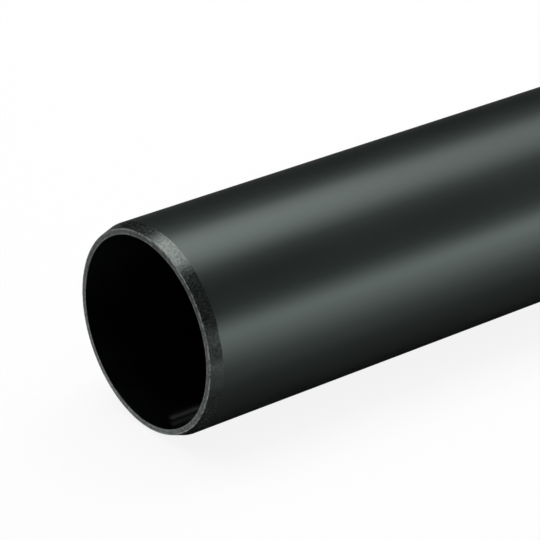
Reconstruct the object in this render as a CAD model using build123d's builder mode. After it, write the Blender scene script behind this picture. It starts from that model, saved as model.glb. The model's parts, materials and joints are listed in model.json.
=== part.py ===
from build123d import *
import math
import os

# Plain-ended plastic drain pipe of the 40 mm size: one extruded length of tube, with both ends cut
# square and turned to a spigot, so that either end pushes into a socket.
# It lies along Y on a level floor. The origin is on the floor, under the middle of its length.

# Driving dimensions, in millimetres and degrees
OUTSIDE_DIAMETER = 41.0
WALL = 1.9
LENGTH = 1000.0
SPIGOT_CHAMFER_LENGTH = 2.4  # along the pipe
SPIGOT_CHAMFER_ANGLE = 17.5  # off the pipe's outside
BORE_EDGE_RADIUS = 0.1  # the bore's edge, eased by the cutter

# Worked out from them
outside_radius = OUTSIDE_DIAMETER / 2
spigot_chamfer_depth = SPIGOT_CHAMFER_LENGTH * math.tan(math.radians(SPIGOT_CHAMFER_ANGLE))
axis_height = outside_radius
mid_wall_height = axis_height + outside_radius - WALL / 2
pipe_axis = Axis((0, 0, axis_height), (0, 1, 0))

os.makedirs("parts", exist_ok=True)

# The wall's section above the axis, turned once round it
with BuildPart() as drain_pipe:
    with BuildSketch(Plane.YZ) as wall_section:
        with Locations((0, mid_wall_height)):
            Rectangle(LENGTH, WALL)
        outside_line = wall_section.edges().sort_by(Axis.Y)[-1]
        chamfer(
            outside_line.vertices(),
            length=SPIGOT_CHAMFER_LENGTH,
            length2=spigot_chamfer_depth,
            reference=outside_line,
        )
        bore_line = wall_section.edges().sort_by(Axis.Y)[0]
        fillet(bore_line.vertices(), radius=BORE_EDGE_RADIUS)
    revolve(axis=pipe_axis)

drain_pipe.part.label = "drain_pipe"
export_step(drain_pipe.part, "parts/drain_pipe.step")
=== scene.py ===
import json
import logging
import math
from dataclasses import dataclass
from enum import Enum
from typing import Any, ClassVar

import bpy
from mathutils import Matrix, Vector


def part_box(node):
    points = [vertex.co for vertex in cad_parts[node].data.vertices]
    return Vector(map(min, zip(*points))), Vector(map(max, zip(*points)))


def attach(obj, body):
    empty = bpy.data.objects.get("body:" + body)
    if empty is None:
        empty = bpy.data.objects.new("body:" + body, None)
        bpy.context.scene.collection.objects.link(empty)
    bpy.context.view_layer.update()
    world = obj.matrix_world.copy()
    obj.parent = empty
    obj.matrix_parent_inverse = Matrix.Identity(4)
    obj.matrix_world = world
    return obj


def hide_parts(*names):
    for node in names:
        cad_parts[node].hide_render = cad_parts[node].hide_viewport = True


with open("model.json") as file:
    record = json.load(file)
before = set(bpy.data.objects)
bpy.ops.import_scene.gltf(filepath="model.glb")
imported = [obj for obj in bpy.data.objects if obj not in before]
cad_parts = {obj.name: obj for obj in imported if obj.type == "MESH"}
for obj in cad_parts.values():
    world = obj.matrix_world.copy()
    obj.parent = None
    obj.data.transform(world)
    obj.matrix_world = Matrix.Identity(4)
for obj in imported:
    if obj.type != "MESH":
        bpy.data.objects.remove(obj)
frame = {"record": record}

logging.basicConfig(level=logging.INFO, format="%(name)s: %(message)s")
log = logging.getLogger("drain_pipe")

MM = 0.001
MICRON = 1e-6
PHOTO_SIDE = 540  # pixels, both ways
SENSOR_WIDTH = 36.0  # millimetres


class Finish(Enum):
    """The ways in which the pipe's surfaces were left by the maker."""

    EXTRUDED_OUTSIDE = 0
    TURNED_CHAMFER = 1
    SAWN_END = 2
    EXTRUDED_BORE = 3


class Drawing:
    """A node tree that is being drawn, for a finish or for a shape."""

    def __init__(self, tree: bpy.types.NodeTree) -> None:
        """Starts on an empty tree.

        Args:
            tree: the tree to draw in. Its old nodes are removed.
        """
        self.tree = tree
        tree.nodes.clear()

    def node(
        self, kind: str, settings: dict[str, Any] | None = None, inputs: dict[str | int, Any] | None = None
    ) -> bpy.types.Node:
        """Adds one node.

        Args:
            kind: the node's type.
            settings: the node's own properties, set first.
            inputs: socket names or numbers, each with a value, a socket or a Level to link.

        Returns:
            The new node.
        """
        made = self.tree.nodes.new(kind)
        for name, value in (settings or {}).items():
            setattr(made, name, value)
        for name, value in (inputs or {}).items():
            self.feed(made.inputs[name], value)
        return made

    def feed(self, socket: bpy.types.NodeSocket, value: Any) -> None:
        """Gives a socket its value or its link.

        Args:
            socket: the input to fill.
            value: a plain value, a socket, or a Level.
        """
        if isinstance(value, Level):
            value = value.socket
        if isinstance(value, bpy.types.NodeSocket):
            self.tree.links.new(value, socket)
        else:
            socket.default_value = value

    def level(
        self,
        kind: str,
        settings: dict[str, Any] | None = None,
        inputs: dict[str | int, Any] | None = None,
        output: str | int = 0,
    ) -> "Level":
        """Adds one node and takes one of its outputs as a number.

        Args:
            kind: the node's type.
            settings: the node's own properties.
            inputs: its sockets' values or links.
            output: the name or number of the output.

        Returns:
            The output, ready for arithmetic.
        """
        return Level(self, self.node(kind, settings, inputs).outputs[output])

    def maths(self, operation: str, *terms: "Level | float") -> "Level":
        """Adds a Math node.

        Args:
            operation: the Math node's operation.
            terms: its inputs in order.

        Returns:
            The result.
        """
        return self.level("ShaderNodeMath", {"operation": operation}, dict(enumerate(terms)))


@dataclass(frozen=True)
class Level:
    """A number in a drawing that varies over a surface. Python's operators add Math nodes to it."""

    drawing: Drawing
    socket: bpy.types.NodeSocket

    def __add__(self, other: "Level | float") -> "Level":
        """Sum."""
        return self.drawing.maths("ADD", self, other)

    __radd__ = __add__

    def __sub__(self, other: "Level | float") -> "Level":
        """Difference."""
        return self.drawing.maths("SUBTRACT", self, other)

    def __rsub__(self, other: "Level | float") -> "Level":
        """Difference, the number first."""
        return self.drawing.maths("SUBTRACT", other, self)

    def __mul__(self, other: "Level | float") -> "Level":
        """Product."""
        return self.drawing.maths("MULTIPLY", self, other)

    __rmul__ = __mul__

    def __truediv__(self, other: "Level | float") -> "Level":
        """Quotient."""
        return self.drawing.maths("DIVIDE", self, other)

    def __mod__(self, other: "Level | float") -> "Level":
        """Remainder."""
        return self.drawing.maths("MODULO", self, other)

    def floor(self) -> "Level":
        """The whole number below."""
        return self.drawing.maths("FLOOR", self)

    def cos(self) -> "Level":
        """Cosine of an angle in radians."""
        return self.drawing.maths("COSINE", self)

    def sin(self) -> "Level":
        """Sine of an angle in radians."""
        return self.drawing.maths("SINE", self)

    def larger(self, other: "Level | float") -> "Level":
        """The larger of two."""
        return self.drawing.maths("MAXIMUM", self, other)

    def ramp(self, low: float, high: float) -> "Level":
        """A smooth rise from 0 at low to 1 at high.

        Args:
            low: the number at which the rise starts.
            high: the number at which it ends.

        Returns:
            The rise.
        """
        settings = {"interpolation_type": "SMOOTHSTEP"}
        return self.drawing.level(
            "ShaderNodeMapRange", settings, {"Value": self, "From Min": low, "From Max": high}
        )


class SurfaceDrawing(Drawing):
    """The drawing of one material on a Principled shader, with patterns on Object coordinates."""

    def __init__(self, name: str, centre: Vector) -> None:
        """Starts a material.

        Args:
            name: the material's name.
            centre: the point that patterns are measured from.
        """
        self.material = bpy.data.materials.new(name)
        self.material.use_nodes = True
        super().__init__(self.material.node_tree)
        place = self.node("ShaderNodeTexCoord").outputs["Object"]
        self.place = self.node(
            "ShaderNodeVectorMath", {"operation": "SUBTRACT"}, {0: place, 1: centre}
        ).outputs[0]

    def from_axis(self) -> Level:
        """The distance from the pipe's axis.

        Returns:
            The distance, in metres.
        """
        across = self.node("ShaderNodeVectorMath", {"operation": "MULTIPLY"}, {0: self.place, 1: (1, 0, 1)})
        return self.level("ShaderNodeVectorMath", {"operation": "LENGTH"}, {0: across.outputs[0]}, "Value")

    def grain(
        self, grain_size: tuple[float, float, float], depth: float = 2.0, place: Any = None, blur: float = 0.5
    ) -> Level:
        """A noise whose grains have a given size each way.

        Args:
            grain_size: the size of a grain along x, y and z, in metres.
            depth: how many finer octaves it has.
            place: the coordinates to use instead of the object's.
            blur: how much the finer octaves count.

        Returns:
            The noise, about 0.5.
        """
        scale = tuple(1.0 / size for size in grain_size)
        source = self.place if place is None else place
        stretched = self.node("ShaderNodeVectorMath", {"operation": "MULTIPLY"}, {0: source, 1: scale})
        inputs = {"Vector": stretched.outputs[0], "Scale": 1.0, "Detail": depth, "Roughness": blur}
        return self.level("ShaderNodeTexNoise", {"noise_dimensions": "3D"}, inputs, "Fac")

    def rings(self, pitch: float, sweep: float, depth: float = 2.0) -> Level:
        """Fine marks that run round the axis on a face across it, broken into short arcs.

        Args:
            pitch: the width of a mark, in metres.
            sweep: the length of a mark, in metres.
            depth: how many finer octaves it has.

        Returns:
            The marks, about 0.5.
        """
        split = self.node("ShaderNodeSeparateXYZ", None, {0: self.place}).outputs
        ringed = self.node(
            "ShaderNodeCombineXYZ", None, {0: split[0], 1: self.from_axis(), 2: split[2]}
        ).outputs[0]
        return self.grain((sweep, pitch, sweep), depth, ringed)

    def shade(self, low: tuple[float, float, float], high: tuple[float, float, float], share: Level) -> Any:
        """Mixes two colours.

        Args:
            low: the colour where share is 0.
            high: the colour where share is 1.
            share: how far it is from low to high.

        Returns:
            The mixed colour's socket.
        """
        inputs = {"Factor": share, 6: (*low, 1.0), 7: (*high, 1.0)}
        return self.node("ShaderNodeMix", {"data_type": "RGBA"}, inputs).outputs[2]

    def bump(self, height: Level) -> Any:
        """Turns heights into a normal.

        Args:
            height: the height, in metres.

        Returns:
            The normal's socket.
        """
        inputs = {"Height": height, "Distance": 1.0, "Strength": 1.0}
        return self.node("ShaderNodeBump", None, inputs).outputs[0]

    def close(self, constants: dict[str, Any], varying: dict[str, Any]) -> bpy.types.Material:
        """Ends the material in its shader.

        Args:
            constants: the shader's sockets that are the same all over.
            varying: the shader's sockets that vary over the surface.

        Returns:
            The material.
        """
        shader = self.node("ShaderNodeBsdfPrincipled", None, {**constants, **varying})
        self.node("ShaderNodeOutputMaterial", None, {"Surface": shader.outputs[0]})
        return self.material


@dataclass(frozen=True)
class ExtrudedOutside:
    """The pipe's outside as the sizing die left it: satin black, with faint lines along the pipe."""

    name: str = "pipe_outside_extruded"
    deep: tuple[float, float, float] = (0.0072, 0.0087, 0.0083)
    pale: tuple[float, float, float] = (0.0096, 0.0116, 0.0111)
    sheen_tint: tuple[float, float, float, float] = (0.80, 1.0, 0.925, 1.0)
    smoothness: tuple[float, float] = (0.31, 0.36)

    def material(self, centre: Vector) -> bpy.types.Material:
        """Draws the finish.

        Args:
            centre: the middle of the pipe's axis.

        Returns:
            The material.
        """
        drawing = SurfaceDrawing(self.name, centre)
        die_lines = drawing.grain((0.9 * MM, 160 * MM, 0.9 * MM), 3.0)
        clouds = drawing.grain((9 * MM, 30 * MM, 9 * MM), 2.0)
        pores = drawing.grain((0.22 * MM, 0.3 * MM, 0.22 * MM), 2.0)
        ripple = drawing.grain((5 * MM, 22 * MM, 5 * MM), 1.0)
        low, high = self.smoothness
        roughness = low + (high - low) * (0.5 * die_lines + 0.5 * clouds) + 0.05 * pores
        height = 0.9 * MICRON * die_lines + 0.5 * MICRON * pores + 12 * MICRON * ripple
        paleness = (clouds * 0.6 + die_lines * 0.4).ramp(0.3, 0.7)
        return drawing.close(
            {"Specular Tint": self.sheen_tint},
            {
                "Base Color": drawing.shade(self.deep, self.pale, paleness),
                "Roughness": roughness,
                "Normal": drawing.bump(height),
            },
        )


@dataclass(frozen=True)
class TurnedChamfer:
    """The chamfer as the cutter left it: torn and greyer in places, burnished in others."""

    name: str = "chamfer_turned"
    deep: tuple[float, float, float] = (0.0066, 0.0080, 0.0075)
    pale: tuple[float, float, float] = (0.0138, 0.0164, 0.0155)
    sheen_tint: tuple[float, float, float, float] = (0.86, 1.0, 0.93, 1.0)

    def material(self, centre: Vector) -> bpy.types.Material:
        """Draws the finish.

        Args:
            centre: the middle of the pipe's axis.

        Returns:
            The material.
        """
        drawing = SurfaceDrawing(self.name, centre)
        marks = drawing.grain((1.8 * MM, 0.22 * MM, 1.8 * MM), 2.0)
        chatter = drawing.grain((0.3 * MM, 1.6 * MM, 0.3 * MM), 2.0)
        grit = drawing.grain((0.34 * MM, 0.34 * MM, 0.34 * MM), 3.0, blur=0.7)
        torn = (0.25 * marks + 0.25 * chatter + 0.5 * grit).ramp(0.42, 0.6)
        burnished = 1.0 - (0.3 * chatter + 0.7 * grit).ramp(0.42, 0.56)
        height = 8 * MICRON * marks + 14 * MICRON * chatter + 30 * MICRON * grit
        return drawing.close(
            {"Specular Tint": self.sheen_tint, "Coat Roughness": 0.2, "Coat IOR": 1.4},
            {
                "Base Color": drawing.shade(self.deep, self.pale, torn),
                "Roughness": 0.1 + 0.24 * torn,
                "Coat Weight": 0.5 * burnished,
                "Normal": drawing.bump(height),
            },
        )


@dataclass(frozen=True)
class SawnEnd:
    """The end face as the saw left it: a dull grey grain with fine arcs, with paler bands along both its
    edges that are painted highlights.
    """

    name: str = "end_face_sawn"
    deep: tuple[float, float, float] = (0.012, 0.0142, 0.0136)
    # pale: the torn grain's grey, and also the colour of the painted edge highlights
    pale: tuple[float, float, float] = (0.200, 0.224, 0.217)
    sheen_tint: tuple[float, float, float, float] = (0.92, 1.0, 0.975, 1.0)
    # width of the painted highlight along the bore's edge
    bore_highlight_width: float = 0.45 * MM
    # width of the painted highlight along the face's outer edge
    rim_highlight_width: float = 0.3 * MM

    def material(self, centre: Vector, bore_radius: float, land_radius: float) -> bpy.types.Material:
        """Draws the finish.

        Args:
            centre: the middle of the pipe's axis.
            bore_radius: the radius of the face's inner edge.
            land_radius: the radius of its outer edge.

        Returns:
            The material.
        """
        drawing = SurfaceDrawing(self.name, centre)
        arcs = drawing.rings(0.36 * MM, 2.4 * MM)
        grit = drawing.grain((0.42 * MM, 0.42 * MM, 0.42 * MM), 2.0, blur=0.6)
        radius = drawing.from_axis()
        bore_highlight_middle = bore_radius + 0.5 * self.bore_highlight_width
        # lip: a paler band along the bore's edge, a painted highlight, dotted by the grain
        lip = radius.ramp(bore_radius, bore_highlight_middle) - radius.ramp(bore_highlight_middle, bore_radius + self.bore_highlight_width)
        # rim: a paler band along the outer edge, a painted highlight, dotted by the grain
        rim = radius.ramp(land_radius - self.rim_highlight_width, land_radius - 0.6 * self.rim_highlight_width)
        torn = (0.3 * arcs + 0.7 * grit).ramp(0.46, 0.56)
        # share: the torn grain's grey, plus the painted highlights along both edges
        share = 0.3 * torn + 0.36 * lip * grit.ramp(0.36, 0.6) + 0.76 * rim * grit.ramp(0.3, 0.6)
        return drawing.close(
            {"Specular Tint": self.sheen_tint},
            {
                "Base Color": drawing.shade(self.deep, self.pale, share),
                "Roughness": 0.42 + 0.2 * grit,
                "Normal": drawing.bump(24 * MICRON * arcs + 100 * MICRON * grit),
            },
        )


@dataclass(frozen=True)
class ExtrudedBore:
    """The bore as the die's core left it: black, smoother than the outside."""

    name: str = "bore_extruded"
    deep: tuple[float, float, float] = (0.0018, 0.0021, 0.0021)
    pale: tuple[float, float, float] = (0.0034, 0.0039, 0.0038)
    sheen_tint: tuple[float, float, float, float] = (0.9, 1.0, 0.97, 1.0)

    def material(self, centre: Vector) -> bpy.types.Material:
        """Draws the finish.

        Args:
            centre: the middle of the pipe's axis.

        Returns:
            The material.
        """
        drawing = SurfaceDrawing(self.name, centre)
        core_lines = drawing.grain((1.2 * MM, 120 * MM, 1.2 * MM), 3.0)
        clouds = drawing.grain((7 * MM, 20 * MM, 7 * MM), 2.0)
        return drawing.close(
            {"Specular Tint": self.sheen_tint},
            {
                "Base Color": drawing.shade(self.deep, self.pale, clouds.ramp(0.3, 0.7)),
                "Roughness": 0.09 + 0.06 * core_lines + 0.04 * clouds,
                "Normal": drawing.bump(1.2 * MICRON * core_lines + 6 * MICRON * clouds),
            },
        )


@dataclass(frozen=True)
class Station:
    """One point of the wall's section, which becomes one ring of the pipe."""

    along: float
    radius: float
    finish: Finish
    runout: float = 0.0  # how much of the chamfer's uneven width it takes, signed by the pipe's end
    burr: float = 0.0  # how much of the edge's burr it takes, signed likewise


@dataclass(frozen=True)
class Unevenness:
    """How far one cut length strays from its true form. Grains are sizes round the pipe and along it."""

    out_of_round: float = 0.03 * MM
    oval_turn: float = 0.7  # radians
    waviness: float = 0.05 * MM
    wave_grain: tuple[float, float] = (30 * MM, 180 * MM)
    chatter: float = 0.008 * MM
    chatter_grain: tuple[float, float] = (1.1 * MM, 0.4 * MM)
    runout: float = 0.1 * MM  # of the chamfer's width
    runout_turn: float = 1.1  # radians
    askew_share: float = 0.7  # how much of the runout is from a cutter that stood askew
    patch_share: float = 0.4  # how much of it comes in loose patches
    patch_grain: tuple[float, float] = (9 * MM, 60 * MM)
    burr: float = 0.035 * MM
    burr_grain: tuple[float, float] = (0.6 * MM, 90 * MM)
    burr_rise: tuple[float, float] = (-0.2, 0.7)  # of the noise, from no burr to all of it
    seed: int = 7


class TurningDrawing(Drawing):
    """The geometry tree that turns a section round the pipe's axis and makes the wall uneven."""

    weld_distance: ClassVar[float] = MICRON
    mark_tolerance: ClassVar[float] = 0.1
    chatter_onset: ClassVar[float] = 0.02  # how soon the chatter starts, from the ends of the chamfer

    def __init__(self, uneven: Unevenness) -> None:
        """Starts the tree with its named inputs.

        Args:
            uneven: the unevenness. Its grains are drawn into the tree, and its sizes are inputs.
        """
        super().__init__(bpy.data.node_groups.new("turn_wall_section", "GeometryNodeTree"))
        self.uneven = uneven
        sizes = ("Axis Height", "Out Of Round", "Waviness", "Runout", "Chatter", "Burr")
        kinds = {
            "Section": "NodeSocketGeometry",
            "Stations": "NodeSocketInt",
            "Segments": "NodeSocketInt",
            **{name: "NodeSocketFloat" for name in sizes},
            **{finish.name: "NodeSocketMaterial" for finish in Finish},
        }
        for name, kind in kinds.items():
            self.tree.interface.new_socket(name=name, in_out="INPUT", socket_type=kind)
        self.tree.interface.new_socket(name="Wall", in_out="OUTPUT", socket_type="NodeSocketGeometry")
        self.given = self.node("NodeGroupInput").outputs
        self.index = self.level("GeometryNodeInputIndex")

    def number(self, name: str) -> Level:
        """One of the tree's inputs as a number."""
        return Level(self, self.given[name])

    def at_station(self, name: str, station: Level) -> Level:
        """Reads a number that the section holds.

        Args:
            name: the number's name.
            station: which of the section's stations to read it at.

        Returns:
            The number.
        """
        held = self.node("GeometryNodeInputNamedAttribute", {"data_type": "FLOAT"}, {"Name": name})
        inputs = {"Geometry": self.given["Section"], "Value": held.outputs["Attribute"], "Index": station}
        return self.level("GeometryNodeSampleIndex", {"data_type": "FLOAT"}, inputs)

    def marked_grid(self) -> bpy.types.NodeSocket:
        """Lays out the wall as a flat grid, whose faces are marked with their finish.

        Returns:
            The grid's socket. It has a row of faces for each station.
        """
        segments = self.number("Segments")
        counts = {"Vertices X": self.number("Stations") + 1.0, "Vertices Y": segments + 1.0}
        grid = self.node("GeometryNodeMeshGrid", None, counts).outputs["Mesh"]
        station = ((self.index + 0.5) / segments).floor()
        marks = {"Geometry": grid, "Name": "finish", "Value": self.at_station("finish", station)}
        kept = {"data_type": "FLOAT", "domain": "FACE"}
        return self.node("GeometryNodeStoreNamedAttribute", kept, marks).outputs[0]

    def places(self) -> bpy.types.NodeSocket:
        """Works out where each point of the grid lies on the uneven wall.

        Returns:
            The place's socket.
        """
        uneven, segments = self.uneven, self.number("Segments")
        ring = ((self.index + 0.5) / (segments + 1.0)).floor()
        station = ring % self.number("Stations")
        turn = (self.index - ring * (segments + 1.0)) / segments * math.tau
        place = self.node("GeometryNodeInputPosition").outputs[0]
        held = {"Geometry": self.given["Section"], "Value": place, "Index": station}
        section_place = self.node("GeometryNodeSampleIndex", {"data_type": "FLOAT_VECTOR"}, held).outputs[0]
        split = self.node("ShaderNodeSeparateXYZ", None, {0: section_place}).outputs
        along, radius = Level(self, split[1]), Level(self, split[2])

        def noise(grain: tuple[float, float], detail: float) -> Level:
            """Adds a noise on the round pipe.

            Args:
                grain: the size of a grain round the pipe and along it, in metres.
                detail: how many finer octaves it has.

            Returns:
                The noise, from about -1 to 1.
            """
            around, lengthwise = grain
            parts = {
                0: turn.cos() * radius / around,
                1: along / lengthwise + uneven.seed,
                2: turn.sin() * radius / around,
            }
            spot = self.node("ShaderNodeCombineXYZ", None, parts).outputs[0]
            found = self.level("ShaderNodeTexNoise", None, {"Vector": spot, "Scale": 1.0, "Detail": detail})
            return (found - 0.5) * 2.0

        runout, burr = self.at_station("runout", station), self.at_station("burr", station)
        on_chamfer = (runout * runout).ramp(0.0, self.chatter_onset)
        oval = (turn * 2.0 + uneven.oval_turn).cos() * self.number("Out Of Round")
        wave = noise(uneven.wave_grain, 1.0) * self.number("Waviness")
        chatter = noise(uneven.chatter_grain, 2.0) * self.number("Chatter") * on_chamfer
        askew = (turn - uneven.runout_turn).cos() * uneven.askew_share
        width_error = (askew + noise(uneven.patch_grain, 1.0) * uneven.patch_share) * self.number("Runout")
        lip = noise(uneven.burr_grain, 2.0).ramp(*uneven.burr_rise) * self.number("Burr")
        new_radius = radius + oval + wave + chatter
        new_place = {
            0: turn.cos() * new_radius,
            1: along - runout * width_error + burr * lip,
            2: turn.sin() * new_radius + self.number("Axis Height"),
        }
        return self.node("ShaderNodeCombineXYZ", None, new_place).outputs[0]

    def draw(self) -> bpy.types.NodeTree:
        """Draws the tree from its grid to its output.

        Returns:
            The geometry tree.
        """
        shape = self.marked_grid()
        steps = (
            ("GeometryNodeSetPosition", {"Position": self.places()}, "Geometry"),
            ("GeometryNodeMergeByDistance", {"Distance": self.weld_distance}, "Geometry"),
            ("GeometryNodeFlipFaces", {}, "Mesh"),
            ("GeometryNodeSetShadeSmooth", {}, "Geometry"),
            ("GeometryNodeRealizeInstances", {}, "Geometry"),
        )
        for kind, inputs, taken in steps:
            shape = self.node(kind, None, {taken: shape, **inputs}).outputs[0]
        for finish in Finish:
            inputs = {"Geometry": shape, "Material": self.given[finish.name]}
            if finish is not Finish.EXTRUDED_OUTSIDE:
                settings = {"data_type": "FLOAT"}
                mark = self.level("GeometryNodeInputNamedAttribute", settings, {"Name": "finish"})
                inputs["Selection"] = self.maths("COMPARE", mark, float(finish.value), self.mark_tolerance)
            shape = self.node("GeometryNodeSetMaterial", None, inputs).outputs[0]
        self.node("NodeGroupOutput", None, {"Wall": shape})
        return self.tree


@dataclass
class DrainPipe:
    """The pipe: one turned section, finer at its ends, with the small unevenness of a cut extrusion."""

    name: ClassVar[str] = "drain_pipe_wall"
    outside_radius: float
    bore_radius: float
    half_length: float
    chamfer_length: float
    land_radius: float
    bore_edge_radius: float
    segments: int = 512
    outside_steps: int = 40
    bore_steps: int = 30
    chamfer_steps: int = 14
    land_steps: int = 5
    shoulder_steps: int = 4
    rim_steps: int = 5
    bore_edge_steps: int = 6
    shoulder_radius: float = 0.25 * MM
    rim_radius: float = 0.15 * MM
    inner_burr: float = 0.6  # how much of the burr the bore's edge has
    uneven: Unevenness = Unevenness()

    @classmethod
    def from_frame(cls) -> "DrainPipe":
        """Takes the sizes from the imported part.

        Returns:
            The pipe.
        """
        mounts = {mount["name"]: mount for mount in frame["record"]["mounts"]}
        low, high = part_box("drain_pipe")
        spigot = mounts["near_spigot"]
        axis_height = spigot["pos_m"][2]
        bore_radius = mounts["bore"]["dims"]["r_mm"] * MM
        half_length = (high.y - low.y) / 2
        bore_edge = half_length - mounts["bore"]["dims"]["length_mm"] * MM / 2
        land_middle = mounts["near_end_face"]["pos_m"][2] - axis_height
        return cls(
            outside_radius=spigot["dims"]["r_mm"] * MM,
            bore_radius=bore_radius,
            half_length=half_length,
            chamfer_length=spigot["pos_m"][1] - low.y,
            land_radius=2 * land_middle - bore_radius - bore_edge,
            bore_edge_radius=bore_edge,
        )

    @property
    def centre(self) -> Vector:
        """The middle of the pipe's axis."""
        return Vector((0.0, 0.0, self.outside_radius))

    def near_end(self) -> list[Station]:
        """Works out the section at the near end, from the outside to the bore.

        Returns:
            The stations in order.
        """
        shoulder = Vector((-self.half_length + self.chamfer_length, self.outside_radius))
        rim = Vector((-self.half_length, self.land_radius))
        bore_edge = Vector((-self.half_length, self.bore_radius))
        before = Vector((0.0, self.outside_radius))
        beyond = Vector((0.0, self.bore_radius))
        shoulder_arc = rounded(before, shoulder, rim, self.shoulder_radius, self.shoulder_steps)
        rim_arc = rounded(shoulder, rim, bore_edge, self.rim_radius, self.rim_steps)
        bore_arc = rounded(rim, bore_edge, beyond, self.bore_edge_radius, self.bore_edge_steps)
        stations = [Station(p.x, p.y, Finish.TURNED_CHAMFER, -1.0) for p in shoulder_arc]
        for step in range(1, self.chamfer_steps):
            share = step / self.chamfer_steps
            place = shoulder_arc[-1].lerp(rim_arc[0], share)
            stations.append(Station(place.x, place.y, Finish.TURNED_CHAMFER, share - 1.0))
        for number, place in enumerate(rim_arc):
            burr = -math.sin(math.pi * number / self.rim_steps)
            stations.append(Station(place.x, place.y, Finish.SAWN_END, 0.0, burr))
        for step in range(1, self.land_steps):
            place = rim_arc[-1].lerp(bore_arc[0], step / self.land_steps)
            stations.append(Station(place.x, place.y, Finish.SAWN_END))
        for number, place in enumerate(bore_arc):
            burr = -self.inner_burr * math.sin(math.pi * number / self.bore_edge_steps)
            finish = Finish.EXTRUDED_BORE if number > 0 else Finish.SAWN_END
            stations.append(Station(place.x, place.y, finish, 0.0, burr))
        return stations

    def section(self) -> list[Station]:
        """Works out the wall's whole section, as a closed loop that starts at the near bore edge's end.

        Returns:
            The stations in order.
        """
        near = self.near_end()
        bore = [
            Station(along, self.bore_radius, Finish.EXTRUDED_BORE)
            for along in graded(near[-1].along, -near[-1].along, self.bore_steps)
        ]
        outside = [
            Station(along, self.outside_radius, Finish.EXTRUDED_OUTSIDE)
            for along in graded(-near[0].along, near[0].along, self.outside_steps)
        ]
        far = []
        finishes = [station.finish for station in near]
        for number in range(len(near) - 1, -1, -1):
            old = near[number]
            finish = finishes[number - 1] if number else Finish.EXTRUDED_OUTSIDE
            far.append(Station(-old.along, old.radius, finish, -old.runout, -old.burr))
        return near + bore + far + outside

    def section_mesh(self) -> bpy.types.Mesh:
        """Puts the section into a mesh of bare points, for the turning tree to read.

        Returns:
            The mesh, with a point for each station.
        """
        stations = self.section()
        mesh = bpy.data.meshes.new("wall_section")
        mesh.from_pydata([(0.0, station.along, station.radius) for station in stations], [], [])
        finish = mesh.attributes.new("finish", "FLOAT", "POINT")
        runout = mesh.attributes.new("runout", "FLOAT", "POINT")
        burr = mesh.attributes.new("burr", "FLOAT", "POINT")
        for number, station in enumerate(stations):
            finish.data[number].value = station.finish.value
            runout.data[number].value = station.runout
            burr.data[number].value = station.burr
        return mesh

    def finishes(self) -> dict[Finish, bpy.types.Material]:
        """Draws the materials.

        Returns:
            Each finish's material.
        """
        return {
            Finish.EXTRUDED_OUTSIDE: ExtrudedOutside().material(self.centre),
            Finish.TURNED_CHAMFER: TurnedChamfer().material(self.centre),
            Finish.SAWN_END: SawnEnd().material(self.centre, self.bore_radius, self.land_radius),
            Finish.EXTRUDED_BORE: ExtrudedBore().material(self.centre),
        }

    def build(self) -> bpy.types.Object:
        """Makes the pipe and puts it in the place of its CAD node.

        Returns:
            The pipe's object.
        """
        section_mesh = self.section_mesh()
        maker = bpy.data.objects.new("wall_section", section_mesh)
        bpy.context.scene.collection.objects.link(maker)
        tree = TurningDrawing(self.uneven).draw()
        values = {
            "Stations": len(section_mesh.vertices),
            "Segments": self.segments,
            "Axis Height": self.outside_radius,
            "Out Of Round": self.uneven.out_of_round,
            "Waviness": self.uneven.waviness,
            "Runout": self.uneven.runout,
            "Chatter": self.uneven.chatter,
            "Burr": self.uneven.burr,
            **{finish.name: material for finish, material in self.finishes().items()},
        }
        mesh = grown(maker, tree, values, self.name)
        pipe = bpy.data.objects.new(self.name, mesh)
        bpy.context.scene.collection.objects.link(pipe)
        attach(pipe, "root")
        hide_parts("drain_pipe")
        return pipe


def rounded(before: Vector, corner: Vector, after: Vector, radius: float, steps: int) -> list[Vector]:
    """Rounds a corner of a section.

    Args:
        before: the corner's neighbour on one side.
        corner: the corner.
        after: its neighbour on the other side.
        radius: the arc's radius.
        steps: how many runs the arc has.

    Returns:
        The arc's points, from before to after.
    """
    back = (before - corner).normalized()
    on = (after - corner).normalized()
    half = back.angle(on) / 2
    middle = corner + (back + on).normalized() * (radius / math.sin(half))
    start = (corner + back * (radius / math.tan(half)) - middle).normalized()
    end = (corner + on * (radius / math.tan(half)) - middle).normalized()
    return [middle + start.slerp(end, step / steps) * radius for step in range(steps + 1)]


def graded(start: float, end: float, steps: int) -> list[float]:
    """Divides a run, finer towards its ends, without the ends themselves.

    Args:
        start: where the run starts.
        end: where it ends.
        steps: how many parts it has.

    Returns:
        The places between the parts.
    """
    return [
        start + (end - start) * (1 - math.cos(math.pi * step / steps)) / 2 for step in range(1, steps)
    ]


def grown(
    maker: bpy.types.Object, tree: bpy.types.NodeTree, values: dict[str, Any], name: str
) -> bpy.types.Mesh:
    """Runs a geometry tree on an object and keeps the result as a plain mesh, without an empty material slot.

    Args:
        maker: the object that the tree starts from. It is removed.
        tree: the geometry tree.
        values: the tree's inputs by name.
        name: the new mesh's name.

    Returns:
        The mesh.
    """
    modifier = maker.modifiers.new(tree.name, "NODES")
    modifier.node_group = tree
    for item in tree.interface.items_tree:
        if item.in_out == "INPUT" and item.name in values:
            modifier[item.identifier] = values[item.name]
    evaluated = maker.evaluated_get(bpy.context.evaluated_depsgraph_get())
    mesh = bpy.data.meshes.new_from_object(evaluated)
    mesh.name = name
    if mesh.materials[0] is None:
        mesh.materials.pop(index=0)
    maker.modifiers.clear()
    bpy.data.objects.remove(maker)
    return mesh


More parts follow.
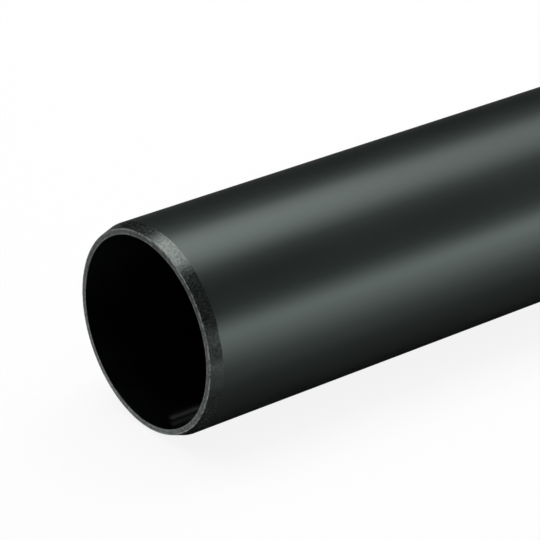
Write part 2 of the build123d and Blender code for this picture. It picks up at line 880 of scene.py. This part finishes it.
@dataclass
class Strip:
    """One soft light that runs level along the pipe.

    Seen from the pipe's near end, it shines to the left of the way from its first edge to its second.
    """

    name: str
    first_edge: tuple[float, float]  # degrees above level on the camera's side, metres from the axis
    second_edge: tuple[float, float]
    start: float  # along the pipe, in metres
    end: float
    strength: float  # the light's own brightness, where a white surface in full plain light is 1
    on_floor: bool = False  # whether it lights the floor too

    def build(self, centre: Vector, piece_only: bpy.types.Collection) -> bpy.types.Object:
        """Hangs the light.

        Args:
            centre: the middle of the pipe's axis.
            piece_only: a collection that holds just the pipe.

        Returns:
            The light.
        """
        first, second = (
            Vector((math.cos(math.radians(angle)), 0.0, math.sin(math.radians(angle)))) * distance
            for angle, distance in (self.first_edge, self.second_edge)
        )
        width = (second - first).length
        length = self.end - self.start
        data = bpy.data.lights.new(self.name, "AREA")
        data.shape = "RECTANGLE"
        data.size = width
        data.size_y = length
        data.energy = self.strength * math.pi * width * length
        light = bpy.data.objects.new(self.name, data)
        facing = (second - first).cross(Vector((0.0, 1.0, 0.0)))
        light.location = centre + (first + second) / 2 + Vector((0.0, (self.start + self.end) / 2, 0.0))
        light.rotation_euler = (0.0, math.atan2(-facing.x, -facing.z), 0.0)
        light.visible_camera = False
        if not self.on_floor:
            light.light_linking.receiver_collection = piece_only
        bpy.context.scene.collection.objects.link(light)
        return light


@dataclass
class Studio:
    """The pale floor, the wall round it and the lights."""

    floor_half: float = 40.0
    wall_radius: float = 38.0
    wall_height: float = 45.0
    floor_colour: tuple[float, float, float, float] = (0.86, 0.86, 0.86, 1.0)
    floor_wash: float = 0.4  # light that reaches only the floor and the wall
    own_white: float = 0.88  # how much of the floor's white doesn't depend on the lights, at the pipe
    white_from: float = 0.8  # how far from the pipe the floor starts to turn plain white
    white_to: float = 3.0  # how far it is plain white
    fill: float = 0.05  # an even light from all round
    wall_sides: int = 96
    wash_spread: float = 80.0  # degrees

    def paper(self) -> bpy.types.Material:
        """Draws the white paper of the floor and the wall. Far from the pipe it's plain white.

        Returns:
            The material.
        """
        material = bpy.data.materials.new("studio_paper")
        material.use_nodes = True
        drawing = Drawing(material.node_tree)
        place = drawing.node("ShaderNodeTexCoord").outputs["Object"]
        distance = drawing.level("ShaderNodeVectorMath", {"operation": "LENGTH"}, {0: place}, "Value")
        own_white = self.own_white + (1.0 - self.own_white) * distance.ramp(self.white_from, self.white_to)
        path = drawing.node("ShaderNodeLightPath").outputs
        camera, gloss, glass = (
            Level(drawing, path[kind]) for kind in ("Is Camera Ray", "Is Glossy Ray", "Is Transmission Ray")
        )
        seen = camera.larger(gloss).larger(glass) * own_white
        lit = drawing.node("ShaderNodeBsdfDiffuse", None, {"Color": self.floor_colour}).outputs[0]
        white = drawing.node("ShaderNodeEmission", None, {"Color": (1, 1, 1, 1), "Strength": 1.0}).outputs[0]
        mixed = drawing.node("ShaderNodeMixShader", None, {0: seen, 1: lit, 2: white}).outputs[0]
        drawing.node("ShaderNodeOutputMaterial", None, {"Surface": mixed})
        return material

    def room(self) -> tuple[bpy.types.Object, bpy.types.Object]:
        """Makes the floor and the round wall.

        Returns:
            The floor and the wall.
        """
        half, sides, top = self.floor_half, self.wall_sides, self.wall_height
        corners = [(-half, -half, 0), (half, -half, 0), (half, half, 0), (-half, half, 0)]
        floor_mesh = bpy.data.meshes.new("floor")
        floor_mesh.from_pydata(corners, [], [(0, 1, 2, 3)])
        turns = [math.tau * side / sides for side in range(sides)]
        rim = [(self.wall_radius * math.cos(turn), self.wall_radius * math.sin(turn)) for turn in turns]
        wall_mesh = bpy.data.meshes.new("wall")
        wall_mesh.from_pydata(
            [(x, y, 0.0) for x, y in rim] + [(x, y, top) for x, y in rim],
            [],
            [(side, sides + side, sides + (side + 1) % sides, (side + 1) % sides) for side in range(sides)],
        )
        paper = self.paper()
        floor, wall = bpy.data.objects.new("floor", floor_mesh), bpy.data.objects.new("wall", wall_mesh)
        for item in (floor, wall):
            item.data.materials.append(paper)
            bpy.context.scene.collection.objects.link(item)
        return floor, wall

    def even_fill(self) -> None:
        """Gives the world its even light."""
        world = bpy.data.worlds.new("studio_fill")
        world.use_nodes = True
        drawing = Drawing(world.node_tree)
        inputs = {"Color": (1, 1, 1, 1), "Strength": self.fill}
        background = drawing.node("ShaderNodeBackground", None, inputs)
        drawing.node("ShaderNodeOutputWorld", None, {"Surface": background.outputs[0]})
        bpy.context.scene.world = world

    def wash(self, *items: bpy.types.Object) -> None:
        """Hangs a sun that lights nothing but some objects.

        Args:
            items: the objects that it lights.
        """
        data = bpy.data.lights.new("floor_wash", "SUN")
        data.energy = self.floor_wash * math.pi
        data.angle = math.radians(self.wash_spread)
        light = bpy.data.objects.new("floor_wash", data)
        reached = bpy.data.collections.new("floor_wash_reaches_this")
        for item in items:
            reached.objects.link(item)
        light.light_linking.receiver_collection = reached
        bpy.context.scene.collection.objects.link(light)

    def build(self, pipe: DrainPipe, piece: bpy.types.Object) -> None:
        """Sets up the floor, the wall, the world and the lights.

        Args:
            pipe: the pipe that they are set round.
            piece: the pipe's object.
        """
        floor, wall = self.room()
        unlit = bpy.data.collections.new("not_lit_by_the_white")
        unlit.objects.link(piece)
        unlit.collection_objects[0].light_linking.link_state = "EXCLUDE"
        for item in (floor, wall):
            item.light_linking.receiver_collection = unlit
        piece_only = bpy.data.collections.new("pipe_lights_reach_this")
        piece_only.objects.link(piece)
        self.even_fill()
        self.wash(floor, wall)
        for strip in self.strips():
            strip.build(pipe.centre, piece_only)
            log.info("light %s", strip.name)

    def strips(self) -> list[Strip]:
        """Lists the lights. The low cards, end_card and end_card_left lie on the floor, like its bounce.

        Returns:
            The strips, the overhead one first.
        """
        return [
            Strip("overhead_strip", (80.0, 1.0), (119.0, 1.0), -0.9, 2.0, 2.3, on_floor=True),
            Strip("end_lamp", (82.0, 0.3), (119.0, 0.3), -0.57, -0.26, 1.8),
            Strip("end_spot", (82.0, 0.29), (126.0, 0.29), -0.57, -0.41, 1.2),
            Strip("end_back_card", (126.0, 0.29), (165.0, 0.29), -0.62, -0.45, 0.35),
            Strip("end_card", (194.0, 0.0825), (291.8, 0.0215), -0.525, -0.5005, 1.35),
            Strip("end_card_left", (191.3, 0.102), (196.2, 0.0717), -0.56, -0.525, 2.1),
            Strip("bore_card", (227.6, 0.017), (228.7, 0.0178), -0.487, -0.479, 0.23),
            Strip("side_strip", (-2.0, 0.4), (11.0, 0.4), -0.47, 1.5, 5.0),
            Strip("low_card_far", (-12.8, 0.092), (-3.0, 0.38), -0.47, 1.5, 2.0),
            Strip("low_card_middle", (-20.0, 0.0585), (-12.8, 0.092), -0.6, 1.5, 0.9),
            Strip("low_card_near", (-30.5, 0.0395), (-20.0, 0.0585), -0.6, 1.5, 0.3),
            Strip("back_fill", (30.0, 0.4), (70.0, 0.4), -0.16, 1.5, 0.22),
        ]


@dataclass
class PhotoCamera:
    """The camera at the photograph's place, measured from the pipe's near end in outside radii."""

    focal_pixels: float = 2942.1
    azimuth: float = 51.54  # degrees, from behind the near end towards +X
    elevation: float = 25.90
    clip_start: float = 0.01
    clip_end: float = 200.0
    near_end_ahead: float = 26.298
    near_end_right: float = -1.122
    near_end_up: float = -0.558

    def build(self, pipe: DrainPipe) -> bpy.types.Object:
        """Sets up the camera.

        Args:
            pipe: the pipe that it looks at.

        Returns:
            The camera.
        """
        turn, rise = math.radians(self.azimuth), math.radians(self.elevation)
        ahead = Vector((-math.sin(turn) * math.cos(rise), math.cos(turn) * math.cos(rise), -math.sin(rise)))
        right = Vector((math.cos(turn), math.sin(turn), 0.0))
        up = right.cross(ahead)
        offset = ahead * self.near_end_ahead + right * self.near_end_right + up * self.near_end_up
        data = bpy.data.cameras.new("photo_camera")
        data.sensor_width = SENSOR_WIDTH
        data.lens = self.focal_pixels / PHOTO_SIDE * SENSOR_WIDTH
        data.clip_start = self.clip_start
        data.clip_end = self.clip_end
        camera = bpy.data.objects.new("photo_camera", data)
        near_end = pipe.centre + Vector((0.0, -pipe.half_length, 0.0))
        camera.location = near_end - offset * pipe.outside_radius
        camera.rotation_mode = "QUATERNION"
        camera.rotation_quaternion = ahead.to_track_quat("-Z", "Y")
        bpy.context.scene.collection.objects.link(camera)
        bpy.context.scene.camera = camera
        return camera


def main() -> None:
    """Builds the pipe, its studio and the camera."""
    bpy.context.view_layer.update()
    bpy.context.scene.view_settings.view_transform = "Standard"
    pipe = DrainPipe.from_frame()
    PhotoCamera().build(pipe)
    piece = pipe.build()
    log.info("%s: %d faces", piece.name, len(piece.data.polygons))
    Studio().build(pipe, piece)


if __name__ == "__main__":
    main()
